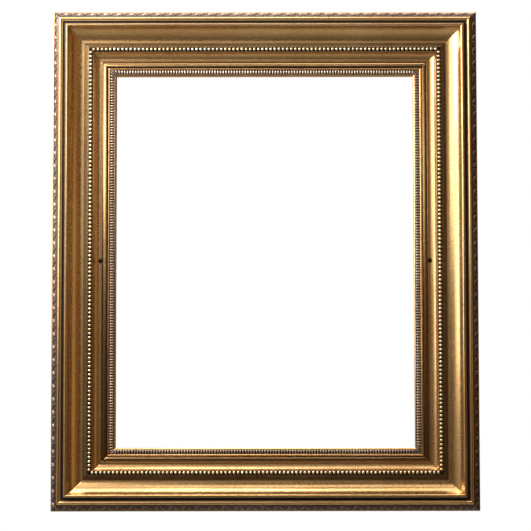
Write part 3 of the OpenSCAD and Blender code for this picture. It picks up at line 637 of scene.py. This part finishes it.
def sandedBand(side):
    # height over the slope = a product of two slanting cosines, made fuller by a power, plus seeded noise
    lo, hi = np.array(sanding["from"]), np.array(sanding["to"])
    width = np.linalg.norm(hi - lo)
    down = (hi - lo) / width
    normal = np.array([-down[1], down[0]])
    middle = (lo[0] + hi[0]) / 2
    end = halfSight(side) + middle - mitreGap
    x = np.linspace(-end, end, round(2 * end / sanding["step"]))
    v = np.linspace(0, width, sanding["columns"])
    row = v[None, :] / sanding["rowPitch"]
    lane = x[:, None] / sanding["grainPitch"] + 0.5 * row
    lanes, rows = (np.clip(np.cos(2 * np.pi * turn) * 0.5 + 0.5, 0, 1) for turn in (lane, row))
    grain = lanes * rows
    noise = np.random.default_rng(sanding["seed"] + quarterTurns[side]).normal(0, 1, grain.shape)
    lift = sanding["grainHeight"] * grain ** sanding["fullness"] + sanding["roughness"] * noise
    lift[:, [0, -1]] = 0
    face = lo + down * v[:, None] + normal * lift[..., None]
    under = np.broadcast_to(np.stack([lo, hi]) - normal * sanding["sunk"], (len(x), 2, 2))
    u, h = np.moveaxis(np.concatenate([under[:, :1], face, under[:, 1:]], 1), -1, 0)
    # relief falls between the grains, where the wax darkens the ground, partly as painted shade
    gain, base = sanding["contrast"]
    return bandPart(side, x, u, h, lift / sanding["grainHeight"] * gain - base, middle, sanding["uvRow"])


# the rings' relief is low on each bead's underside, and the strip's is low too, so the black wax paints
# shade under and between the beads
pearls = {  # each ring of a bead: its latitude in degrees, and its relief
    "middle": 34.3, "shelf": 33.0, "strip": (4.8, 1.0), "under": 0.02, "softening": 0.25, "radius": 2.3,
    "lift": 0.6, "pitch": 5.44, "endShare": 0.75, "across": 1.07, "along": 0.94, "sides": 12,
    "rings": ((-29, -1.0), (2, -0.5), (28, 0.25), (50, 0.7), (68, 0.9), (82, 1.0)), "stripRelief": -0.9}


def pearlRun(side):
    # each bead is a ball cut off inside its strip: rings by latitude, drawn out a little across the rail
    centres = evenRun(side, pearls["middle"], pearls["endShare"] * pearls["pitch"], pearls["pitch"])
    latitude, relief = np.transpose(pearls["rings"])
    half, top = pearls["strip"][0] / 2, pearls["strip"][1]
    ball = pearls["radius"] * together(np.cos(np.radians(latitude)), np.sin(np.radians(latitude)))
    bead = revolvedPart(ball + [0, top + pearls["lift"]], pearls["sides"], relief)
    right, up, out = (bead["points"] * [pearls["along"], pearls["across"], 1]).T
    spots = toWorld(side, centres[:, None] + right, pearls["middle"] + up, pearls["shelf"] + out)
    section = np.array([[-half, pearls["under"]], [-half, top], [half, top], [half, pearls["under"]]])
    section = softened(section + [pearls["middle"], pearls["shelf"]], pearls["softening"])
    relief = np.full(len(section), pearls["stripRelief"])
    return [mouldingPart(side, section, relief, np.zeros(len(section), int), 0), repeated(bead, spots)]


reeds = {  # rows step over each reed, and columns stand in from the bed's two edges
    "bed": (3.0, 8.8), "floor": 18.9, "under": 0.02, "strip": 0.7, "radius": 1.45, "pitch": 3.65,
    "endShare": 0.5, "steps": (-1.83, -1.5, -1.28, -0.72, 0.0, 0.72, 1.28, 1.5), "lastStep": 1.81,
    "insets": (0.05, 0.25, 0.9, 1.9), "contrast": (2.2, 1.2), "uvRow": 100}


def reedRun(side):
    # height over the bed = strip + a half circle about each reed's line, rounded down at its two ends
    lo, hi = reeds["bed"]
    middle = (lo + hi) / 2
    centres = evenRun(side, middle, reeds["endShare"] * reeds["pitch"], reeds["pitch"])
    end = halfSight(side) + middle - mitreGap
    x = (centres[:, None] + reeds["steps"]).ravel()
    x = np.concatenate([[-end], x[x > -end + 0.2], [centres[-1] + reeds["lastStep"], end]])
    off = np.abs(x[:, None] - centres[None, :]).min(1)
    rise = np.sqrt(np.clip(reeds["radius"] ** 2 - off ** 2, 0, None))[:, None]
    inset = np.array(reeds["insets"])
    u = np.concatenate([lo + inset, [middle], hi - inset[::-1]])
    crown = np.sqrt(np.clip(1 - np.abs((u - middle) / (middle - lo)) ** 4, 0, None))
    h = reeds["floor"] + reeds["strip"] + rise * crown
    # relief falls to -1 between the reeds, where the wax paints their shade
    gain, base = reeds["contrast"]
    relief = np.broadcast_to(np.clip(rise / reeds["radius"] * gain - base, -1, 1), h.shape)
    h = np.pad(h, bothSides, constant_values=reeds["floor"] + reeds["under"])
    return [bandPart(side, x, np.pad(u, 1, mode="edge")[None, :], h, relief, middle, reeds["uvRow"])]


leaves = {  # along and across: where a leaf's rows and columns lie, as shares of its half length and width
    "middle": (80.3, 37.5), "half": 4.75, "stripRise": 1.3, "under": -0.05, "stripRelief": -0.55,
    "leafRise": 2.3, "pitch": 8.6, "length": 9.4, "width": 4.2, "tilt": 38, "vein": 0.35, "rib": 0.12,
    "sunk": 0.3, "along": (0.34, 0.64, 0.86, 0.985), "across": (0.09, 0.36, 0.72, 1.0),
    "contrast": (2.0, 1.1, 4.0), "veinWidth": 0.1, "ribSlant": (2.6, 0.7), "uvRow": 500}


def onBevel(side, x, v, n):
    # the bevel's own place (along, down its slope, out of it), laid back at 45 degrees
    u = leaves["middle"][0] + (v + n) * math.sqrt(0.5)
    h = leaves["middle"][1] + (n - v) * math.sqrt(0.5)
    x = np.clip(x, -halfSight(side) - u + mitreGap, halfSight(side) + u - mitreGap)
    return toWorld(side, x, u, h)


def lensRise(v, rise):
    # height of an arc of that rise over the half width of the leaf strip
    radius = (leaves["half"] ** 2 + rise ** 2) / (2 * rise)
    return np.sqrt(np.clip(radius ** 2 - v ** 2, 0, None)) - radius + rise


def leafRun(side):
    # a leaf is a pointed oval: width = (1 - s^2), a rounded section with a cut vein and slanting side ribs
    half = leaves["half"]
    v = np.sin(np.radians(np.linspace(-90, 90, 15))) * half
    section = np.concatenate([together(v, lensRise(v, leaves["stripRise"])),
                              [[half, leaves["under"]], [-half, leaves["under"]]]])
    u = leaves["middle"][0] + section.sum(1) * math.sqrt(0.5)
    x = np.linspace(-1, 1, 61)[:, None] * (halfSight(side) + u - mitreGap)
    uv = runUV(side, x[:, 0], np.append(section[:, 0], section[0, 0]), leaves["uvRow"])
    strip = gridPart(onBevel(side, x, *section.T), uv, leaves["stripRelief"], capTone=0)

    s, t = bothWays(leaves["along"]), bothWays(leaves["across"])
    across = (leaves["width"] / 2 * (1 - s * s) ** 0.8)[:, None] * t
    swell = np.sqrt(np.clip(1 - t * t, 0, None)) * (1 - s ** 4)[:, None] ** 0.5
    cut = leaves["vein"] * np.exp(-(t / leaves["veinWidth"]) ** 2) * (1 - 0.5 * s * s)[:, None]
    slant = s[:, None] * leaves["ribSlant"][0] + np.abs(t) * leaves["ribSlant"][1]
    ribs = leaves["rib"] * np.cos(slant * np.pi) * (np.abs(t) < 0.9)
    lift = swell * (leaves["leafRise"] - leaves["stripRise"] - cut + ribs * swell)
    # relief falls at the leaf's edges and in its vein, where the wax paints their shade
    gain, base, dark = leaves["contrast"]
    relief = np.clip(swell * gain - base - dark * cut, -1, 1)
    points = together((s * leaves["length"] / 2)[:, None], np.pad(across, bothSides, mode="edge"),
                      np.pad(lift, bothSides, constant_values=-leaves["sunk"]))
    leaf = gridPart(points, None, np.pad(relief, bothSides, mode="edge"), capTone=0)

    centres = evenRun(side, leaves["middle"][0], leaves["pitch"] / 2, leaves["pitch"])
    tilt = np.radians(leaves["tilt"]) * np.where(np.arange(len(centres)) % 2 == 0, 1, -1)
    leanCos, leanSin = np.cos(tilt)[:, None], np.sin(tilt)[:, None]
    right, up, out = leaf["points"].T
    v = right * leanSin + up * leanCos
    spots = onBevel(side, centres[:, None] + right * leanCos - up * leanSin, v,
                    lensRise(v, leaves["stripRise"]) + out)
    return [strip, repeated(leaf, spots)]


castRuns = (("pearls", "pearl", pearlRun, pearlGold), ("reeds", "reed", reedRun, reedGold),
            ("leaves", "leaf", leafRun, leafGold))
for side in quarterTurns:
    makePiece(f"sanded_band_{side}", [sandedBand(side)], [sandedGold], "frame")
    for kind, node, run, gold in castRuns:
        makePiece(f"{kind}_{side}", run(side), [gold], "frame", [f"{node}_run_{side}"],
                  castAngle)
print("pearls, reeds, leaves and sanding laid")

# each screw is a slotted round head on a plain shank
linerScrew = {"headRadius": 2.8, "headHeight": 1.6, "shankRadius": 1.6, "length": 15.5,
              "place": (0, 21.0, 21.5)}
for side in ("left", "right"):
    makePiece(f"bronzed_screw_{side}", placed(slottedScrew(linerScrew), (side, *linerScrew["place"], 1)),
              [bronzedBrass], "frame", [f"liner_screw_{side}"])

button = {"width": 9.0, "reach": 18.0, "thickness": 1.5, "hole": 1.58, "holeRound": 0.15, "rim": 0.45,
          "setBack": 20.95, "inset": 95, "depth": 3.8, "ribHeight": 0.35, "ribSpan": (5.5, 14.5),
          "ribWidth": 1.3}
buttons = {"top_left": ("top", -1), "top_right": ("top", 1), "right_upper": ("right", -1),
           "right_lower": ("right", 1), "bottom_right": ("bottom", -1), "bottom_left": ("bottom", 1),
           "left_lower": ("left", -1), "left_upper": ("left", 1)}


def buttonPart():
    # a plate between its hole and its outline: rings from the hole to the edge, round the rim and back
    radius, t, rim = button["width"] / 2, button["thickness"], button["rim"]
    far = np.linspace(-90, 90, 27)
    straight = np.linspace(1, 0, 7)[1:-1]
    angle = np.radians(np.concatenate([far, np.full(5, 90), far + 180, np.full(5, 270)]))
    shift = np.concatenate([np.ones(27), straight, np.zeros(27), straight[::-1]])
    insets = np.array([rim, rim * 0.3, 0, 0, rim * 0.3, rim])
    edges = (radius - insets)[:, None, None] * together(np.cos(angle), np.sin(angle))
    edges[..., 0] += shift * (button["reach"] - radius)
    top = edges[0]
    way = top / np.linalg.norm(top, axis=1)[:, None]
    hole, mouth = way * button["hole"], way * (button["hole"] + button["holeRound"])
    plan = np.stack([hole, hole, mouth, mouth * 0.65 + top * 0.35, mouth * 0.3 + top * 0.7, *edges,
                     mouth * 0.5 + top * 0.5])
    level = np.array([0, t - button["holeRound"], t, t, t, t, t - rim * 0.3, t - rim, rim, rim * 0.3, 0, 0])
    lo, hi = button["ribSpan"]
    rib = np.clip(1 - ((plan[..., 0] - (lo + hi) / 2) / ((hi - lo) / 2)) ** 2, 0, 1)
    rib *= np.exp(-(plan[..., 1] / button["ribWidth"]) ** 2) * button["ribHeight"] * (level >= t)[:, None]
    return gridPart(together(plan[..., 0], plan[..., 1], level[:, None] + rib), relief=0.1, closeRows=True)


buttonScrew = {"headRadius": 3.2, "headHeight": 1.8, "shankRadius": 1.5, "length": 9.9, "depth": 2.1}
screwSpots = []
for name, (side, way) in buttons.items():
    x = way * (halfSight(side) - button["inset"])
    plate = buttonPart()
    right, up, out = plate["points"].T
    plate["points"] = toWorld(side, x - way * right, button["setBack"] + up, button["depth"] - out)
    makePiece(f"brass_button_{name}", [turnedOut(plate)], [plateBrass], f"button_{name}",
              [f"turn_button_{name}"])
    screwSpots.append((side, x, button["setBack"], buttonScrew["depth"], -1))
makePiece("button_screws", placed(slottedScrew(buttonScrew), *screwSpots), [zincPlate], "frame",
          ["turn_button_screws"])

hanger = {"bar": 46.95, "barHeight": 2.38, "fromCentre": 182.25, "width": 11.0, "length": 27.0, "sheet": 1.0,
          "wire": 1.2, "bore": 1.28, "knuckle": 2.28, "endRadius": 9.0, "cornerRadius": 3.0, "side": 2.0,
          "screwAt": 21.0, "cornerRound": 2.6, "softening": 0.2, "slit": 0.03, "slitMouth": 0.08,
          "mouthDepth": 0.2, "fold": 3.4, "columns": (0.65, 0.8, 0.9, 0.97, 1)}
hangerScrew = {"headRadius": 3.3, "headHeight": 2.0, "shankRadius": 1.7, "length": 14.0}
uprights = {"left": 1, "right": -1}  # the sign of x that leads up these rails, and out to them at the bottom


def strapPart():
    # folded sheet: an outline (along the strap, up) round the knuckle and back, carried across its width
    t, bar, far, half = hanger["sheet"], hanger["barHeight"], hanger["length"], hanger["width"] / 2
    touch = math.degrees(math.asin((2 * t - bar) / hanger["knuckle"]))
    slit = np.array([[far, hanger["slitMouth"]], [far - hanger["mouthDepth"], hanger["slit"]],
                     [hanger["fold"], hanger["slit"]]])
    outline = np.concatenate([
        [[0, 0], [far, 0]], slit * [1, -1] + [0, t], arc(0, bar, hanger["bore"], -50, -400, 30),
        slit[::-1] + [0, t], [[far, 2 * t]], arc(0, bar, hanger["knuckle"], touch, 270, 34)])
    along, up = softened(outline, hanger["softening"]).T
    x = bothWays(hanger["columns"]) * half
    r = hanger["cornerRound"]
    over = np.clip(np.abs(x) - half + r, 0, r)
    short = r - np.sqrt(r * r - over * over * 0.96)
    y = along - short[:, None] * np.clip(along / far, 0, 1) ** 8
    tuck = np.interp(np.abs(x), [0, half - 0.2, half], [0, 0, 0.12])
    z = up + (t - up) * tuck[:, None] * 0.4
    return gridPart(together(x[:, None], y, z), relief=0.1, capTone=0)


def ringPath():
    # a D: straight bar, two corners, two sides and a half circle, one closed flat path
    corner, end = hanger["cornerRadius"], hanger["endRadius"]
    flat = end - corner
    bar = np.linspace(-flat, flat, 5)[1:-1]
    path = np.concatenate([
        together(bar, 0.0), arc(flat, -corner, corner, 90, 0, 7),
        arc(0, -corner - hanger["side"], end, 0, -180, 26), arc(-flat, -corner, corner, 180, 90, 7)])
    return np.pad(path, ((0, 0), (0, 1)))


strapSpots = []
for side, way in uprights.items():
    x = way * hanger["fromCentre"]
    ring = tubePart(ringPath(), hanger["wire"], 14)
    for kind, part, height, body in (("strap", strapPart(), 0.0, "frame"),
                                     ("ring", ring, hanger["barHeight"], f"ring_{side}")):
        right, up, out = part["points"].T
        part["points"] = toWorld(side, x + right, hanger["bar"] + up, -height - out)
        makePiece(f"zinc_{kind}_{side}", [turnedOut(part)], [zincPlate], body,
                  [f"hanger_{kind}_{side}"])
    strapSpots.append((side, x, hanger["bar"] + hanger["screwAt"], -2 * hanger["sheet"], -1))
makePiece("strap_screws", placed(slottedScrew(hangerScrew), *strapSpots), [zincPlate], "frame",
          ["hanger_screws"])

bumper = {"radius": 6.5, "height": 5.0, "shoulder": 2.7, "inset": 34.0, "out": 50.6, "sides": 40}


def bumperPart():
    # a moulded foot: a groove round its base, straight sides and a shallow dome
    radius, height = bumper["radius"], bumper["height"]
    waist = radius - 0.2
    dome = (2 * radius ** 2 + height ** 2) / (2 * height)
    angle = np.radians(np.linspace(math.degrees(math.asin((radius - 0.25) / dome)), 2, 12))
    crown = together(dome * np.sin(angle), dome * np.cos(angle) - dome + height)
    base = [[0.3, 0.02], [waist, 0.02], [radius, 0.2], [radius, 0.7], [waist, 0.85], [waist, 1.05],
            [radius, 1.2], [radius, bumper["shoulder"]]]
    return revolvedPart(np.concatenate([base, crown]), bumper["sides"])


bumperAt = sight["width"] / 2 + railOutline["edge"] - bumper["inset"]
for name, way in uprights.items():
    foot = placed([bumperPart()], ("bottom", way * bumperAt, bumper["out"], 0.0, -1))
    makePiece(f"rubber_bumper_{name}", foot, [bumperRubber], "frame",
              [f"wall_bumper_{name}"])

for node in ("corner_nails", "liner_nails"):
    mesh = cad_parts[node].data
    mesh.materials.clear()
    mesh.materials.append(nailSteel)
print("screws, buttons, hangers and bumpers made")

cameraPlace = {  # found from the frame's own corners; distances in metres, angles in degrees
    "tilt": 7.28, "turn": 0.11, "roll": -0.091, "distance": 5.0, "right": -0.00066, "up": 0.00357,
    "lens": 254.94, "sensor": 36.0, "clipEnd": 100}


def stand(name, data, right, up, back, spot):
    # a new object at a spot, with its own axes turned to the right, up and back
    made = bpy.data.objects.new(name, data)
    bpy.context.scene.collection.objects.link(made)
    made.matrix_world = Matrix([[*v] for v in np.column_stack([right, up, back, spot])] + [[0, 0, 0, 1]])
    return made


def placeCamera(c):
    # rows of the turn matrix are the camera's right, forward and up in the frame's own axes
    p, y, r = (math.radians(a) for a in (-c["tilt"], c["turn"], c["roll"]))
    tilt = np.array([[1, 0, 0], [0, math.cos(p), -math.sin(p)], [0, math.sin(p), math.cos(p)]])
    turn = np.array([[math.cos(y), -math.sin(y), 0], [math.sin(y), math.cos(y), 0], [0, 0, 1]])
    roll = np.array([[math.cos(r), 0, math.sin(r)], [0, 1, 0], [-math.sin(r), 0, math.cos(r)]])
    right, forward, up = roll @ tilt @ turn
    spot = -(c["right"] * right + c["distance"] * forward + c["up"] * up) - [0, 0, sight["centreDrop"] * mm]
    data = bpy.data.cameras.new("camera")
    data.lens = c["lens"]
    data.sensor_width = c["sensor"]
    data.clip_end = c["clipEnd"]
    bpy.context.scene.camera = stand("camera", data, right, up, -forward, spot)


placeCamera(cameraPlace)

floorPlace = {"height": -1.85, "half": 9.0}  # metres
floorCorners = [(x * floorPlace["half"], y * floorPlace["half"], floorPlace["height"])
                for x, y in ((-1, -1), (1, -1), (1, 1), (-1, 1))]
floorMesh = bpy.data.meshes.new("floor")
floorMesh.from_pydata(floorCorners, [], [(0, 1, 2, 3)])
floor = bpy.data.objects.new("floor", floorMesh)
bpy.context.scene.collection.objects.link(floor)
floorPaint, floorTree, floorShader = newFinish("pale studio floor", {"Roughness": 0.8})
floorSpot = addNode(floorTree, "TexCoord")
floorNoise = addNode(floorTree, "TexNoise", inputs={"Vector": floorSpot.outputs["Object"], "Scale": 3.0})
floorTone = addNode(floorTree, "ValToRGB", inputs={"Fac": floorNoise}, stops=[
    (0.3, "#D9D8D6"), (0.7, "#DEDDDB")])
feed(floorTree, floorShader, {"Base Color": floorTone})
floorMesh.materials.append(floorPaint)

lampAim = (0.0, 0.0, -0.31)  # near the frame's middle
lamps = {  # name: place, width and height in metres, watts, colour
    "key": ((-0.55, -0.32, 0.19), (0.3, 0.3), 5.0, (0.98, 0.99, 1.0)),
    "softLeft": ((-0.9, -0.38, 0.05), (0.8, 0.8), 3.6, (0.97, 0.98, 1.0)),
    "front": ((-0.12, -3.0, 0.3), (0.9, 0.22), 1.0, (1.0, 1.0, 0.98)),
    "between": ((-0.42, -1.3, 0.1), (0.3, 0.3), 1.2, (1.0, 1.0, 0.98)),
    "upper": ((0.05, -1.2, 0.66), (0.9, 0.4), 2.5, (1.0, 0.98, 0.94)),
    "frontLeft": ((-0.75, -0.95, 0.22), (0.6, 0.6), 4.2, (1.0, 1.0, 0.98)),
    "aboveLeft": ((-0.2, -0.32, 0.79), (0.6, 0.6), 3.6, (1.0, 0.98, 0.94)),
    "aboveRight": ((0.4, -0.34, 0.79), (0.6, 0.6), 2.8, (1.0, 0.96, 0.9)),
    "top": ((-0.1, -0.12, 0.69), (0.4, 0.4), 2.4, (1.0, 0.98, 0.94)),
    "side": ((-1.0, -0.2, -0.1), (0.4, 0.4), 1.7, (1.0, 0.97, 0.92)),
    "fill": ((1.1, -0.6, -0.21), (0.6, 0.6), 0.3, (1.0, 0.85, 0.65)),
    "back": ((0.5, 1.1, 1.1), (1.2, 1.2), 23.0, (1.0, 0.98, 0.96))}
for name, (spot, size, watts, colour) in lamps.items():
    data = bpy.data.lights.new(name, "AREA")
    data.shape = "RECTANGLE"
    data.size, data.size_y = size
    data.energy = watts
    data.color = colour
    away = np.array(spot) - lampAim
    away /= np.linalg.norm(away)
    across = np.cross([0, 0, 1.0], away)
    across /= np.linalg.norm(across)
    stand(name, data, across, np.cross(away, across), away, spot)

# the room's light by direction, in linear light; behind the frame hangs a white sheet
room = {"left": (0.46, 0.44, 0.4), "right": (0.48, 0.28, 0.105), "front": (0.025, 0.015, 0.007),
        "above": (0.13, 0.115, 0.09), "below": (0.085, 0.05, 0.02)}
ways = {"left": ("X", -1), "right": ("X", 1), "front": ("Y", -1), "above": ("Z", 1), "below": ("Z", -1)}
world = bpy.data.worlds.new("studio")
bpy.context.scene.world = world
world.use_nodes = True
air = world.node_tree
sky = addNode(air, "TexCoord")
ray = addNode(air, "LightPath")
axes = addNode(air, "SeparateXYZ", inputs={"Vector": sky.outputs["Generated"]})
# dark furniture stands low at the right and below, level with the frame
clear = addNode(air, "MapRange", {"interpolation_type": "SMOOTHSTEP"}, {
    "Value": axes.outputs["Y"], "From Min": -0.5, "From Max": -0.14, "To Min": 1.0, "To Max": 0.08})
glow = None
for face, (axis, sign) in ways.items():
    # a side's share is the square of how far the direction points at it; the back of the room has none
    toward = addNode(air, "Math", {"operation": "MULTIPLY", "use_clamp": True}, {
        0: axes.outputs[axis], 1: sign})
    share = addNode(air, "Math", {"operation": "POWER"}, {0: toward, 1: 2.0})
    if face in ("right", "below"):
        share = addNode(air, "Math", {"operation": "MULTIPLY"}, {0: share, 1: clear})
    tint = addNode(air, "VectorMath", {"operation": "SCALE"}, {0: room[face], "Scale": share})
    glow = tint if glow is None else addNode(air, "VectorMath", {"operation": "ADD"}, {0: glow, 1: tint})
behind = addNode(air, "MapRange", {"interpolation_type": "SMOOTHSTEP"}, {
    "Value": axes.outputs["Y"], "From Min": 0.25, "From Max": 0.6})
mirrored = addNode(air, "Math", {"operation": "MAXIMUM"}, {
    0: ray.outputs["Is Glossy Ray"], 1: ray.outputs["Is Transmission Ray"]})
sheet = addNode(air, "Math", {"operation": "MULTIPLY"}, {0: mirrored, 1: behind})
for axis, start, end in (("X", 0.5, 0.2), ("Z", -0.55, -0.25)):
    # the sheet ends a little to the right of the frame and a little below it
    edge = addNode(air, "MapRange", inputs={
        "Value": axes.outputs[axis], "From Min": start, "From Max": end})
    sheet = addNode(air, "Math", {"operation": "MULTIPLY"}, {0: sheet, 1: edge})
shown = addNode(air, "Math", {"operation": "MAXIMUM"}, {0: ray.outputs["Is Camera Ray"], 1: sheet})
shade = addNode(air, "Mix", {"data_type": "RGBA"}, {0: shown, 6: glow, 7: (1.0, 1.0, 1.0, 1.0)})
feed(air, air.nodes["Background"], {"Color": shade.outputs[2]})
bpy.context.scene.view_settings.view_transform = "Standard"
print("camera, floor and lamps placed")
